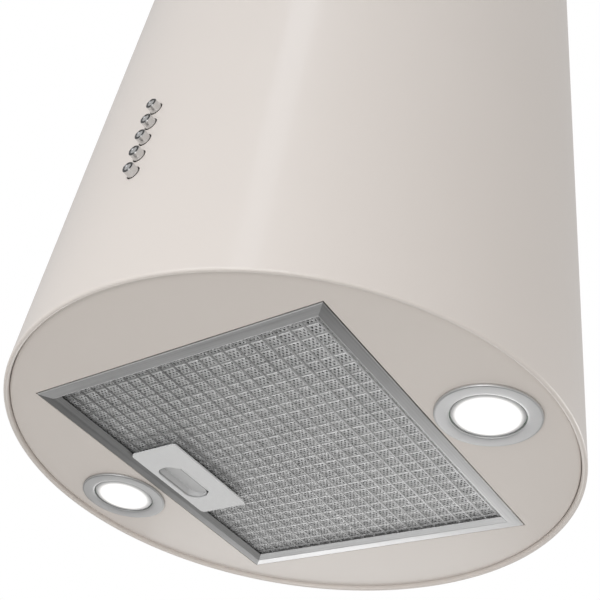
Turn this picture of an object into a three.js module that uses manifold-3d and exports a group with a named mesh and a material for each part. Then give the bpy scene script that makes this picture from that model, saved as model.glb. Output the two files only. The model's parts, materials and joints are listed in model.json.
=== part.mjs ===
// Cylindrical island range hood: a telescopic ceiling frame, a chimney sleeve, and a round casing
// with its blower, damper, lamps, push buttons and hinged grease filter.
// Millimetres, +Z up. Heights are measured from the casing's lower edge, and the finished group is
// then lowered so that the ceiling face lies at z = 0.
import * as THREE from 'three';
import { mergeVertices } from 'three/addons/utils/BufferGeometryUtils.js';
import Module from 'manifold-3d';

const wasm = await Module();
wasm.setup();

// Driving dimensions
const totalHeight = 900;
const gap = 0.3;
const sheet = 1.2;

const casing = { radius: 195, wall: 1, height: 600, hem: 3.5, hemHeight: 10 };
const sleeve = { radius: 192.4, wall: 1, bottom: 500, top: 899.4 };
const ceiling = { radius: 188, thickness: 3, ductRadius: 80, screwCircle: 140, screwRadius: 4 };
const rail = { corner: 118, leg: 25, wall: 2, upperBottom: 560, lowerBottom: 178.3, lowerTop: 760 };
const railBolt = { y: 105, z: 660, shank: 2.8, head: 6, slotTravel: 50 };

const panel = { bottom: 3, rimHeight: 28, lampHole: 29 };
const filter = { width: 228.5, depth: 257, bottom: 2, top: 14, play: 1 };
const mesh = { pitch: 39.5, wire: 2.2, columns: 5, rows: 6, bottom: 5.9, top: 6.9 };
const handle = { left: -102.6, right: -61, near: -44.5, far: 40.5, corner: 3.5 };
const pocket = { left: -99, right: -79.6, halfWidth: 22.3, roof: 10 };
const lamp = { x: 149.2, ring: 32, bore: 22.8, neck: 28.4, lens: 22.4 };

const button = { first: 99, pitch: 15.8, hole: 5.3, base: 4.65, face: 3.4, front: 201, stem: 3 };
const buttonNames = ['button_light', 'button_speed_high', 'button_speed_medium', 'button_speed_low', 'button_off'];

const chassis = { radius: 188, inner: 125, bottom: 176, top: 178, rim: 196 };
const blower = { y: -20, z: 300, half: 70, wall: 1.5, wheel: 73, blade: 60, wheelHalf: 62, inlet: 58 };
const outlet = { top: 442, plenum: 412, half: 78, ductLeft: 5 };
const collar = { radius: 75, wall: 1.2, flange: 1.5, top: 505, pin: 480 };

// Geometry helpers

function toSolid(geometry) {
  const bare = geometry.clone();
  bare.deleteAttribute('normal');
  bare.deleteAttribute('uv');
  const merged = mergeVertices(bare, 1e-4);
  const kept = [];
  const index = merged.index.array;
  for (let i = 0; i < index.length; i += 3) {
    const [a, b, c] = [index[i], index[i + 1], index[i + 2]];
    if (a !== b && b !== c && c !== a) kept.push(a, b, c);
  }
  const position = merged.attributes.position;
  if (signedVolume(position, kept) < 0) kept.reverse();
  return new wasm.Manifold(new wasm.Mesh({
    numProp: 3,
    vertProperties: new Float32Array(position.array),
    triVerts: new Uint32Array(kept),
  }));
}

function signedVolume(position, index) {
  const [a, b, c] = [new THREE.Vector3(), new THREE.Vector3(), new THREE.Vector3()];
  let sum = 0;
  for (let i = 0; i < index.length; i += 3) {
    a.fromBufferAttribute(position, index[i]);
    b.fromBufferAttribute(position, index[i + 1]);
    c.fromBufferAttribute(position, index[i + 2]);
    sum += a.dot(b.cross(c));
  }
  return sum / 6;
}

function toGeometry(solid) {
  const result = solid.getMesh();
  const geometry = new THREE.BufferGeometry();
  geometry.setAttribute('position', new THREE.BufferAttribute(new Float32Array(result.vertProperties), 3));
  geometry.setIndex(new THREE.BufferAttribute(new Uint32Array(result.triVerts), 1));
  return geometry;
}

function join(...geometries) {
  return toGeometry(geometries.map(toSolid).reduce((all, next) => all.add(next)));
}

function cut(geometry, ...tools) {
  return toGeometry(tools.map(toSolid).reduce((left, tool) => left.subtract(tool), toSolid(geometry)));
}

function box(x0, x1, y0, y1, z0, z1) {
  const geometry = new THREE.BoxGeometry(x1 - x0, y1 - y0, z1 - z0);
  return geometry.translate((x0 + x1) / 2, (y0 + y1) / 2, (z0 + z1) / 2);
}

// A round or many-sided bar from one height to another along an axis letter
function bar(axis, radius, from, to, sides = 24) {
  const geometry = new THREE.CylinderGeometry(radius, radius, to - from, sides);
  geometry.translate(0, (from + to) / 2, 0);
  if (axis === 'x') geometry.rotateZ(-Math.PI / 2);
  if (axis === 'z') geometry.rotateX(Math.PI / 2);
  return geometry;
}

// A body of revolution about Z from an outline of [radius, height] points
function turned(outline, sides = 48) {
  const first = outline[0];
  const last = outline[outline.length - 1];
  const closed = first[0] === 0 && last[0] === 0 ? outline : [...outline, first];
  const points = closed.map(([radius, height]) => new THREE.Vector2(radius, height));
  return toGeometry(toSolid(new THREE.LatheGeometry(points, sides).rotateX(Math.PI / 2)));
}

// A mitred rectangular frame from an outline of [distance inwards from the edge, height] points
function mitred(width, depth, outline) {
  const corners = [[-1, -1], [1, -1], [1, 1], [-1, 1]];
  const positions = [];
  for (const [sx, sy] of corners) {
    for (const [inwards, height] of outline) {
      positions.push(sx * (width / 2 - inwards), sy * (depth / 2 - inwards), height);
    }
  }
  const count = outline.length;
  const index = [];
  for (let side = 0; side < 4; side += 1) {
    for (let i = 0; i < count; i += 1) {
      const a = side * count + i;
      const b = side * count + ((i + 1) % count);
      const c = ((side + 1) % 4) * count + ((i + 1) % count);
      const d = ((side + 1) % 4) * count + i;
      index.push(a, b, c, a, c, d);
    }
  }
  const geometry = new THREE.BufferGeometry();
  geometry.setAttribute('position', new THREE.Float32BufferAttribute(positions, 3));
  geometry.setIndex(index);
  return toGeometry(toSolid(geometry));
}

function extruded(shape, from, to, curveSegments = 8) {
  const geometry = new THREE.ExtrudeGeometry(shape, { depth: to - from, bevelEnabled: false, curveSegments });
  return geometry.translate(0, 0, from);
}

function rectangle(x0, x1, y0, y1, Kind = THREE.Shape) {
  const points = [[x0, y0], [x1, y0], [x1, y1], [x0, y1]].map(([x, y]) => new THREE.Vector2(x, y));
  return new Kind(points);
}

// Materials

const finishes = {
  paint: { color: 0xd8d3ce, roughness: 0.35, metalness: 0.2 },
  zinc: { color: 0xb4b8ba, roughness: 0.45, metalness: 0.8 },
  aluminium: { color: 0xaeb1b3, roughness: 0.4, metalness: 0.9 },
  brushed: { color: 0xb9bec0, roughness: 0.3, metalness: 1 },
  chrome: { color: 0xd0d2d4, roughness: 0.1, metalness: 1 },
  grip: { color: 0xc2c2c2, roughness: 0.55, metalness: 0.1 },
  lens: { color: 0xffffff, roughness: 0.2, metalness: 0 },
  darkPlastic: { color: 0x2b2c2e, roughness: 0.6, metalness: 0 },
  board: { color: 0x2f5a3c, roughness: 0.6, metalness: 0 },
  steel: { color: 0x8b9094, roughness: 0.35, metalness: 0.9 },
  spring: { color: 0x9a9fa3, roughness: 0.3, metalness: 1 },
};

const hood = new THREE.Group();
hood.position.z = -totalHeight;

function add(name, geometry, finish, parent = hood) {
  const part = new THREE.Mesh(geometry, new THREE.MeshStandardMaterial(finishes[finish]));
  part.name = name;
  parent.add(part);
  return part;
}

// Ceiling frame: round plate, four slotted upper rails, four lower rails and their bolts

function ceilingPlate() {
  const { radius, thickness, ductRadius, screwCircle, screwRadius } = ceiling;
  const bottom = totalHeight - thickness;
  const disc = turned([[ductRadius, bottom], [radius, bottom], [radius, totalHeight], [ductRadius, totalHeight]]);
  const holes = [0, 1, 2, 3].map((i) => (
    bar('z', screwRadius, bottom - 1, totalHeight + 1, 10).translate(screwCircle, 0, 0).rotateZ(i * Math.PI / 2)));
  return cut(disc, ...holes);
}

function angleSection(corner, leg, wall) {
  const inner = corner - leg;
  const points = [[corner, corner], [inner, corner], [inner, corner - wall],
    [corner - wall, corner - wall], [corner - wall, inner], [corner, inner]];
  return new THREE.Shape(points.map(([x, y]) => new THREE.Vector2(x, y)));
}

function upperRail() {
  const top = totalHeight - ceiling.thickness - gap;
  const { y, z, slotTravel } = railBolt;
  const halfSlot = slotTravel + 7;
  const slot = box(rail.corner - 5, rail.corner + 5, y - 3.5, y + 3.5, z - halfSlot, z + halfSlot);
  return cut(extruded(angleSection(rail.corner, rail.leg, rail.wall), rail.upperBottom, top), slot);
}

function lowerRail() {
  const corner = rail.corner - rail.wall - 0.4;
  const hole = bar('x', 3.3, corner - 5, corner + 5, 16).translate(0, railBolt.y, railBolt.z);
  return cut(extruded(angleSection(corner, rail.leg - 1, rail.wall), rail.lowerBottom, rail.lowerTop), hole);
}

function boltAndNut() {
  const headFace = rail.corner + gap;
  const nutFace = rail.corner - 2 * rail.wall - 0.4 - gap;
  return join(
    bar('x', railBolt.shank, nutFace - 6, headFace + 1, 12),
    bar('x', railBolt.head, headFace, headFace + 4, 6),
    bar('x', railBolt.head, nutFace - 4, nutFace, 6),
  ).translate(0, railBolt.y, railBolt.z);
}

function sleeveShell() {
  const inner = sleeve.radius - sleeve.wall;
  return turned([[inner, sleeve.bottom], [sleeve.radius, sleeve.bottom],
    [sleeve.radius, sleeve.top], [inner, sleeve.top]], 72);
}

// Casing and bottom panel

function casingShell() {
  const { radius, wall, height, hem, hemHeight } = casing;
  const rollRadius = hem / 2;
  const outline = [[radius - wall, height], [radius - wall, hemHeight + 2], [radius - hem, hemHeight]];
  for (let i = 0; i <= 4; i += 1) {
    const angle = Math.PI * (1 + i / 4);
    outline.push([radius - rollRadius + rollRadius * Math.cos(angle), rollRadius + rollRadius * Math.sin(angle)]);
  }
  outline.push([radius, height]);
  const holes = buttonNames.map((name, i) => (
    bar('y', button.hole, -radius - 5, -radius + 8, 12).translate(0, 0, button.first + i * button.pitch)));
  return cut(turned(outline, 72), ...holes);
}

function bottomPanel() {
  const rim = casing.radius - casing.hem - gap;
  const halfWidth = filter.width / 2 + filter.play;
  const halfDepth = filter.depth / 2 + filter.play;
  const shape = new THREE.Shape().absarc(0, 0, rim, 0, Math.PI * 2);
  shape.holes.push(rectangle(-halfWidth, halfWidth, -halfDepth, halfDepth, THREE.Path));
  for (const side of [-1, 1]) {
    shape.holes.push(new THREE.Path().absarc(side * lamp.x, 0, panel.lampHole, 0, Math.PI * 2, true));
  }
  const upper = panel.bottom + sheet;
  const rimFlange = turned([[rim - sheet, upper - 0.5], [rim, upper - 0.5],
    [rim, panel.rimHeight], [rim - sheet, panel.rimHeight]], 64);
  const openingFlange = mitred(2 * (halfWidth + sheet), 2 * (halfDepth + sheet),
    [[0, upper - 0.5], [0, 22], [sheet, 22], [sheet, upper - 0.5]]);
  const lugSlots = [-80, 80].map((y) => box(halfWidth - 1, halfWidth + 3, y - 8, y + 8, upper, 9.5));
  const catchWindow = box(-halfWidth - 3, -halfWidth + 1, -7, 7, 5.6, 8.4);
  return cut(join(extruded(shape, panel.bottom, upper, 16), rimFlange, openingFlange), ...lugSlots, catchWindow);
}

// Grease filter: channel frame with two hinge lugs, wire grid, mesh pack, grip and sliding latch

function filterFrame() {
  const { width, depth, bottom, top } = filter;
  const channel = mitred(width, depth, [[0, top], [0, bottom + 0.8], [0.8, bottom], [8.5, bottom + 0.2],
    [11.3, bottom + 3], [10.6, bottom + 3.7], [8.1, bottom + 1.2], [1, bottom + 1.2],
    [1, top - 1], [11, top - 1], [11, top]]);
  const lugs = [-80, 80].map((y) => box(width / 2 - 0.5, width / 2 + 4, y - 7, y + 7, 4.7, 5.9));
  const latchNotch = box(-width / 2 - 1, -width / 2 + 1.5, -9.6, 9.6, 5.6, 9.9);
  return cut(join(channel, ...lugs), latchNotch);
}

// The room that the grip's pocket, latch and spring take out of the grid and the mesh pack
function gripClearance(bottom, top) {
  return [box(-filter.width / 2, pocket.right + 3, -25.5, 25.5, bottom, top),
    box(pocket.right, handle.right, -7, 7, bottom, top)];
}

function wireGrid() {
  const halfWidth = filter.width / 2 - 1.4;
  const halfDepth = filter.depth / 2 - 1.4;
  const { pitch, wire, columns, rows, bottom, top } = mesh;
  const sideRail = mitred(2 * halfWidth, 2 * halfDepth,
    [[0, bottom], [halfWidth - columns * pitch / 2, bottom], [halfWidth - columns * pitch / 2, top], [0, top]]);
  const bars = [];
  for (let column = 1; column < columns; column += 1) {
    const x = (column - columns / 2) * pitch;
    bars.push(box(x - wire / 2, x + wire / 2, -halfDepth + 3, halfDepth - 3, bottom, top));
  }
  for (let row = 0; row <= rows; row += 1) {
    const y = (row - rows / 2) * pitch;
    bars.push(box(-halfWidth + 3, halfWidth - 3, y - wire / 2, y + wire / 2, bottom, top));
  }
  return cut(join(sideRail, ...bars), ...gripClearance(bottom - 1, top + 1));
}

function meshPack() {
  const halfWidth = filter.width / 2 - 1.4;
  const halfDepth = filter.depth / 2 - 1.4;
  const bottom = mesh.top + gap;
  const top = filter.top - 1 - gap;
  return cut(box(-halfWidth, halfWidth, -halfDepth, halfDepth, bottom, top), ...gripClearance(bottom - 1, top + 1));
}

function roundedPlate(x0, x1, y0, y1, corner) {
  const shape = new THREE.Shape();
  shape.moveTo(x0, y0);
  shape.lineTo(x1 - corner, y0);
  shape.absarc(x1 - corner, y0 + corner, corner, -Math.PI / 2, 0);
  shape.lineTo(x1, y1 - corner);
  shape.absarc(x1 - corner, y1 - corner, corner, 0, Math.PI / 2);
  shape.lineTo(x0, y1);
  return shape;
}

function handlePlate() {
  const { left, right, halfWidth, roof } = pocket;
  const outline = roundedPlate(handle.left, handle.right, handle.near, handle.far, handle.corner);
  const block = box(left - 1, right + 1, -halfWidth - 1, halfWidth + 1, 2.5, roof + 1);
  const hollow = box(left, right, -halfWidth, halfWidth, 0, roof);
  const tongueWay = box(left - 2, left + 1, -9.6, 9.6, 7.9, roof);
  const rodWay = box(right - 1, right + 2, -3.5, 3.5, 7.9, roof);
  return cut(join(extruded(outline, 1.8, 3), block), hollow, tongueWay, rodWay);
}

function latchSlider() {
  const halfPad = pocket.halfWidth - 0.6;
  return join(
    box(-filter.width / 2 - 0.6, -84, -9, 9, 8.3, 9.5),
    box(-91, -89.8, -halfPad, halfPad, 4, 9.5),
    box(-91, -84, -halfPad, halfPad, 4, 5.2),
    box(-84.5, -72, -3, 3, 8.3, 9.5),
  );
}

function springCoil() {
  class Helix extends THREE.Curve {
    getPoint(t) {
      const angle = t * Math.PI * 2 * 4;
      return new THREE.Vector3(t * 9.2, 2.2 * Math.cos(angle), 2.2 * Math.sin(angle));
    }
  }
  const wire = new THREE.Shape().absarc(0, 0, 0.35, 0, Math.PI * 2);
  const settings = { steps: 36, extrudePath: new Helix(), curveSegments: 2, bevelEnabled: false };
  return new THREE.ExtrudeGeometry(wire, settings).translate(-71.3, 0, 9.6);
}

// Leaf spring on the opening's flange, with a nose that holds the latch tongue up
function filterCatch() {
  const back = -filter.width / 2 - filter.play - sheet - gap;
  return join(
    box(back - 1, back, -6, 6, 5, 18),
    box(back - 0.5, -filter.width / 2 + 1.9, -6, 6, 6.2, 7.8),
  );
}

// Lamps

function lampRing() {
  const { ring, bore, neck } = lamp;
  return turned([[bore, 1.6], [bore, 14], [neck, 14], [neck, 2.7], [ring, 2.7], [ring, 2.2],
    [ring - 0.8, 1.3], [bore + 1.7, 1]], 28);
}

function lampLens() {
  return turned([[0, 1.4], [19.8, 1.6], [lamp.lens, 2.1], [lamp.lens, 4], [0, 4]], 28);
}

function lampHousing() {
  return turned([[0, 14.4], [28, 14.4], [28, 20], [23, 20], [23, 22], [28, 22], [28, 25],
    [23, 25], [23, 27], [28, 27], [28, 30], [0, 30]], 20);
}

// Push buttons: each turned about its own axis, which then points out of the front of the casing

function pushButton() {
  const { base, face, front, stem } = button;
  const axisStart = casing.radius;
  return turned([[0, 180.6 - axisStart], [stem, 180.6 - axisStart], [stem, 192 - axisStart],
    [6.3, 192 - axisStart], [6.3, 193.2 - axisStart], [base, 193.2 - axisStart], [base, 197 - axisStart],
    [base - 0.4, 199.2 - axisStart], [face + 0.4, 200.7 - axisStart], [face, front - axisStart],
    [0, front - axisStart]], 12);
}

function buttonBracket() {
  const middle = button.first + 2 * button.pitch;
  const plate = box(-13, 13, -188, -186.5, middle - 42, middle + 42);
  const holes = buttonNames.map((name, i) => (
    bar('y', button.stem + 0.5, -190, -184, 8).translate(0, 0, button.first + i * button.pitch)));
  return cut(plate, ...holes);
}

function switchBoard() {
  const middle = button.first + 2 * button.pitch;
  const switches = buttonNames.map((name, i) => {
    const z = button.first + i * button.pitch;
    return box(-5, 5, -178, -171.5, z - 5, z + 5);
  });
  return join(box(-13, 13, -172, -170, middle - 42, middle + 42), ...switches);
}

// Chassis ring and blower

function chassisRing() {
  const { radius, inner, bottom, top, rim } = chassis;
  return turned([[inner, bottom], [radius, bottom], [radius, rim], [radius - sheet, rim],
    [radius - sheet, top], [inner, top]], 48);
}

function scrollOutline(offset, top) {
  const points = [];
  const tongue = 70;
  const steps = 20;
  for (let i = 0; i <= steps; i += 1) {
    const degrees = THREE.MathUtils.lerp(tongue + offset, 360, i / steps);
    const radius = 79 + 19 * (degrees - tongue) / (360 - tongue) + offset;
    const angle = THREE.MathUtils.degToRad(degrees);
    points.push(new THREE.Vector2(blower.y + radius * Math.cos(angle), blower.z + radius * Math.sin(angle)));
  }
  const { plenum, half, ductLeft } = outlet;
  points.push(new THREE.Vector2(half + offset, top));
  points.push(new THREE.Vector2(-half - offset, top));
  points.push(new THREE.Vector2(-half - offset, plenum - offset));
  points.push(new THREE.Vector2(ductLeft - offset, plenum - offset));
  return new THREE.Shape(points);
}

// The outline lies in the YZ plane and is extruded along X
function alongX(shape, from, to) {
  const geometry = extruded(shape, from, to);
  const toYz = new THREE.Matrix4().set(0, 0, 1, 0, 1, 0, 0, 0, 0, 1, 0, 0, 0, 0, 0, 1);
  return toGeometry(toSolid(geometry.applyMatrix4(toYz)));
}

// The curled sheet between the two side plates, open at the top
function blowerScroll() {
  const reach = blower.half - gap;
  return cut(alongX(scrollOutline(blower.wall, outlet.top), -reach, reach),
    alongX(scrollOutline(0, outlet.top + 5), -reach - 1, reach + 1));
}

// A side plate with its round inlet and its foot, for the +X side or, with side = -1, for the -X side
function blowerSide(side) {
  const { half, wall, y, z, inlet } = blower;
  const acrossX = (near, far) => [side * near, side * far].sort((a, b) => a - b);
  const plate = cut(alongX(scrollOutline(wall, outlet.top), ...acrossX(half, half + wall)),
    bar('x', inlet, ...acrossX(half - 5, half + 5), 32).translate(0, y, z));
  const bottom = chassis.top + gap;
  const leg = box(...acrossX(half + wall - 0.5, half + wall + 1.5), -45, 5, bottom, 232);
  const foot = box(...acrossX(half + wall - 0.5, 135), -45, 5, bottom, bottom + 2);
  return join(plate, leg, foot);
}

// The drum of blades between two end rings, which the hub disc fills at the middle
function blowerWheel() {
  const { wheel, blade, wheelHalf } = blower;
  const bladeCount = 18;
  const parts = [-wheelHalf + 1, 0, wheelHalf - 1].map((x) => (
    turned([[blade, -1], [wheel, -1], [wheel, 1], [blade, 1]], 24).rotateY(Math.PI / 2).translate(x, 0, 0)));
  for (let i = 0; i < bladeCount; i += 1) {
    const vane = box(-wheelHalf + 0.5, wheelHalf - 0.5, -0.8, 0.8, -6.2, 6.2);
    vane.rotateX(0.5);
    vane.translate(0, 0, (wheel + blade) / 2);
    vane.rotateX(i * Math.PI * 2 / bladeCount);
    parts.push(vane);
  }
  return join(...parts);
}

function wheelHub() {
  const disc = join(bar('x', blower.blade - 1.2, -1, 1, 24), bar('x', 12, -3, 12, 12));
  return cut(disc, bar('x', 4.4, -20, 30, 10));
}

function wheelNut() {
  return cut(bar('x', 7.5, 12.3, 18.5, 6), bar('x', 4.3, 10, 30, 10));
}

function motorBracket() {
  const face = -blower.half - blower.wall - gap;
  const ring = turned([[60, -1], [67, -1], [67, 1], [60, 1]], 24).rotateY(Math.PI / 2);
  const arms = [0, 1, 2].map((i) => box(face - 2, face, -4, 4, 15, 62).rotateX(i * Math.PI * 2 / 3));
  return join(ring.translate(face - 1, 0, 0), ...arms, bar('x', 22, face - 2, -66.3, 24));
}

// Outlet collar with its non-return damper

function outletFlange() {
  const bottom = outlet.top + gap;
  const hole = bar('z', collar.radius - collar.wall, bottom - 2, bottom + 4, 48);
  return cut(box(-78, 78, -78, 78, bottom, bottom + collar.flange), hole);
}

function outletCollar() {
  const { radius, wall, top, flange } = collar;
  const bottom = outlet.top + gap + flange + gap;
  return turned([[radius - wall, bottom], [radius, bottom], [radius, top], [radius - wall, top]], 48);
}

// One half disc with its own pair of knuckles round the pin; the other flap is this one turned about
function damperFlap() {
  const reach = collar.radius - collar.wall - 0.6;
  const shape = new THREE.Shape().absarc(0, 0, reach, Math.asin(4.4 / reach), Math.PI - Math.asin(4.4 / reach));
  const leaf = extruded(shape, -0.6, 0.6, 10);
  const knuckles = [[-62, -42], [22, 42]].flatMap(([from, to]) => [
    bar('x', 3.8, from, to, 10), box(from, to, 1, 5, -0.6, 0.6)]);
  return cut(join(leaf, ...knuckles), bar('x', 2.3, -80, 80, 10));
}

// Electrical parts

function terminalBox() {
  const shell = box(-45, 45, 79.8, 124, 392, 441);
  const room = box(-43.5, 43.5, 81.3, 126, 393.5, 439.5);
  return cut(shell, room, bar('z', 4, 430, 450, 16).translate(25, 102, 0));
}

function cableGland() {
  const gland = turned([[4, 441.3], [9, 441.3], [9, 448], [7.5, 448], [7.5, 458], [4, 461]], 12);
  return gland.translate(25, 102, 0);
}

// Assembly

add('ceiling_plate', ceilingPlate(), 'zinc');
for (let i = 0; i < 4; i += 1) {
  const corner = new THREE.Group();
  corner.rotation.z = i * Math.PI / 2;
  hood.add(corner);
  add(`upper_rail_${i + 1}`, upperRail(), 'zinc', corner);
  add(`lower_rail_${i + 1}`, lowerRail(), 'zinc', corner);
  add(`rail_bolt_${i + 1}`, boltAndNut(), 'steel', corner);
}
add('chimney_sleeve', sleeveShell(), 'paint');
add('outer_casing', casingShell(), 'paint');
add('bottom_panel', bottomPanel(), 'paint');

for (const [side, x] of [['left', -lamp.x], ['right', lamp.x]]) {
  const place = new THREE.Group();
  place.position.x = x;
  hood.add(place);
  add(`lamp_ring_${side}`, lampRing(), 'brushed', place);
  add(`lamp_lens_${side}`, lampLens(), 'lens', place);
  add(`led_board_${side}`, turned([[0, 9], [21, 9], [21, 10.6], [0, 10.6]], 24), 'board', place);
  add(`lamp_housing_${side}`, lampHousing(), 'aluminium', place);
}

add('filter_frame', filterFrame(), 'aluminium');
add('filter_grid', wireGrid(), 'aluminium');
add('filter_mesh_pack', meshPack(), 'aluminium');
add('handle_plate', handlePlate(), 'grip');
add('latch_slider', latchSlider(), 'grip');
add('latch_spring', springCoil(), 'spring');
add('filter_catch', filterCatch(), 'spring');

buttonNames.forEach((name, i) => {
  const part = add(name, pushButton(), 'chrome');
  part.rotation.x = Math.PI / 2;
  part.position.set(0, -casing.radius, button.first + i * button.pitch);
});
add('button_bracket', buttonBracket(), 'zinc');
add('switch_board', switchBoard(), 'board');

add('chassis_ring', chassisRing(), 'zinc');
add('blower_scroll', blowerScroll(), 'zinc');
add('blower_side_left', blowerSide(-1), 'zinc');
add('blower_side_right', blowerSide(1), 'zinc');
const shaftLine = new THREE.Group();
shaftLine.position.set(0, blower.y, blower.z);
hood.add(shaftLine);
add('blower_wheel', blowerWheel(), 'darkPlastic', shaftLine);
add('wheel_hub', wheelHub(), 'darkPlastic', shaftLine);
add('motor_shaft', bar('x', 4, -5.7, 22, 12), 'steel', shaftLine);
add('wheel_nut', wheelNut(), 'steel', shaftLine);
add('motor_body', bar('x', 42, -66, -6, 32), 'steel', shaftLine);
add('motor_bracket', motorBracket(), 'zinc', shaftLine);
add('run_capacitor', bar('z', 15, 250, 310, 24).translate(92, -95, 0), 'lens');

add('outlet_flange', outletFlange(), 'zinc');
add('outlet_collar', outletCollar(), 'darkPlastic');
const damper = new THREE.Group();
damper.position.z = collar.pin;
hood.add(damper);
add('damper_pin', bar('x', 2, -73.3, 73.3, 12), 'steel', damper);
add('damper_flap_rear', damperFlap(), 'darkPlastic', damper);
add('damper_flap_front', damperFlap(), 'darkPlastic', damper).rotation.z = Math.PI;

add('terminal_box', terminalBox(), 'darkPlastic');
add('terminal_box_lid', box(-45, 45, 124.3, 126, 392, 441), 'darkPlastic');
add('control_board', box(-40, 40, 90, 91.6, 398, 435), 'board');
add('cable_gland', cableGland(), 'darkPlastic');

export default hood;
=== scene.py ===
# Round island range hood: the looks around its CAD frame. Metres, +Z up, the ceiling at z = 0,
# the push buttons towards -Y and the lamps along X.
import json
import math

import bmesh
import bpy
from mathutils import Matrix, Vector, noise


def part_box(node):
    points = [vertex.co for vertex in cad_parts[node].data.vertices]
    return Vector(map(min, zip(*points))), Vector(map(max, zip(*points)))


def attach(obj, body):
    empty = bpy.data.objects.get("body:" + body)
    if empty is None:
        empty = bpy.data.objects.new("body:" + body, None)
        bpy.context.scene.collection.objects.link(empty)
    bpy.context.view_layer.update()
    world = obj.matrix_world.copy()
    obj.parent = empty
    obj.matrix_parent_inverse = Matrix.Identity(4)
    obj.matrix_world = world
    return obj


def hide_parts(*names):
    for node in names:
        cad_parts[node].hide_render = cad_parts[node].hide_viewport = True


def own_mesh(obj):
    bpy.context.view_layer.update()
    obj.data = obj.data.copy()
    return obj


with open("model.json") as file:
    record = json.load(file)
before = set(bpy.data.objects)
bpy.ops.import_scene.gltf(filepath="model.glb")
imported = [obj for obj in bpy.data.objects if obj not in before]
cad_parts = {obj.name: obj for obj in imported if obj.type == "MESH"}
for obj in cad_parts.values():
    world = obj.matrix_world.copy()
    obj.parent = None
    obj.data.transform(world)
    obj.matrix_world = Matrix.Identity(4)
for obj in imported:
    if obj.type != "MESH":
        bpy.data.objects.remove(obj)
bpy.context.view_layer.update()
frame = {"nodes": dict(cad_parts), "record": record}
mm = 0.001
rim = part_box("outer_casing")[0].z

# Camera. It looks up at the hood's underside from below the front right, where a cook would stoop.
camera_data = bpy.data.cameras.new("camera")
camera_data.lens = 59.19
camera_data.shift_x = 0.1144
camera_data.shift_y = 0.0274
camera = bpy.data.objects.new("camera", camera_data)
bpy.context.scene.collection.objects.link(camera)
heading, climb, roll = (math.radians(angle) for angle in (45.14, 37.98, 13.42))
camera.matrix_world = (
    Matrix.Translation((0.37241, -0.45099, rim - 0.34148))
    @ Matrix.Rotation(heading, 4, "Z")
    @ Matrix.Rotation(math.pi / 2 + climb, 4, "X")
    @ Matrix.Rotation(roll, 4, "Z")
)
bpy.context.scene.camera = camera
bpy.context.scene.view_settings.view_transform = "Standard"

# Studio. A white room, a pale matt floor 1.3 m under the hood, large soft lamps, and a tall narrow one
# at the front whose reflection is the soft band down the casing. A dark flag on the floor, which only
# reflections see, gives the brushed metal of the filter its darker tones.
world = bpy.data.worlds.new("studio")
bpy.context.scene.world = world
world.use_nodes = True
world_nodes = world.node_tree.nodes
world_nodes.clear()


def background(colour, strength):
    node = world_nodes.new("ShaderNodeBackground")
    node.inputs["Color"].default_value = colour
    node.inputs["Strength"].default_value = strength
    return node


room = background((1, 0.99, 0.985, 1), 0.56)
white = background((1, 1, 1, 1), 1.0)
seen_directly = world_nodes.new("ShaderNodeLightPath")
choose = world_nodes.new("ShaderNodeMixShader")
sky = world_nodes.new("ShaderNodeOutputWorld")
world.node_tree.links.new(seen_directly.outputs["Is Camera Ray"], choose.inputs[0])
world.node_tree.links.new(room.outputs[0], choose.inputs[1])
world.node_tree.links.new(white.outputs[0], choose.inputs[2])
world.node_tree.links.new(choose.outputs[0], sky.inputs["Surface"])


def stage_sheet(name, size, place, material_name, colour, roughness):
    """A flat square of one plain colour that belongs to the studio."""
    bpy.ops.object.select_all(action="DESELECT")
    bpy.ops.mesh.primitive_plane_add(size=size, location=place)
    sheet = bpy.context.object
    sheet.name = name
    material = bpy.data.materials.new(material_name)
    material.use_nodes = True
    shader = material.node_tree.nodes["Principled BSDF"]
    shader.inputs["Base Color"].default_value = colour
    shader.inputs["Roughness"].default_value = roughness
    sheet.data.materials.append(material)
    return sheet


floor_drop = 1.3
stage_sheet("studio_floor", 9, (0, 0, rim - floor_drop), "floor_paint", (0.8, 0.8, 0.79, 1), 0.9)
flag = stage_sheet("black_flag", 2.2, (-0.75, 0.65, rim - floor_drop + 0.01), "flag_cloth",
                   (0.16, 0.16, 0.16, 1), 0.5)
flag.visible_camera = False
flag.visible_diffuse = False
flag.visible_shadow = False


def soft_lamp(name, position, target, size, power, colour=(1, 1, 1), height=None):
    """A studio softbox that faces its target, square if it has no height of its own."""
    data = bpy.data.lights.new(name, "AREA")
    data.shape = "RECTANGLE" if height else "SQUARE"
    data.size = size
    data.size_y = height or size
    data.energy = power
    data.color = colour
    lamp = bpy.data.objects.new(name, data)
    bpy.context.scene.collection.objects.link(lamp)
    lamp.location = position
    lamp.rotation_euler = (Vector(target) - Vector(position)).to_track_quat("-Z", "Y").to_euler()
    lamp.visible_camera = False


hood_middle = (0, 0, rim + 0.3)
soft_lamp("front_softbox", (0.1, -2.4, rim + 0.2), hood_middle, 1.4, 17, (0.97, 1, 1.04))
soft_lamp("strip_softbox", (0.48, -2.13, rim + 2.2), hood_middle, 0.42, 5, (0.92, 1, 1.1), 2.4)
soft_lamp("floor_softbox", (0.62, -1.75, rim - 1.05), hood_middle, 0.8, 13)
soft_lamp("left_softbox", (-2.4, -1.2, rim + 0.4), hood_middle, 1.6, 3)
soft_lamp("right_softbox", (1.6, 2.2, rim + 0.5), hood_middle, 1.6, 21)
soft_lamp("back_softbox", (-1.5, 2.2, rim - 0.75), (0, 0, rim), 1.3, 8)


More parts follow.
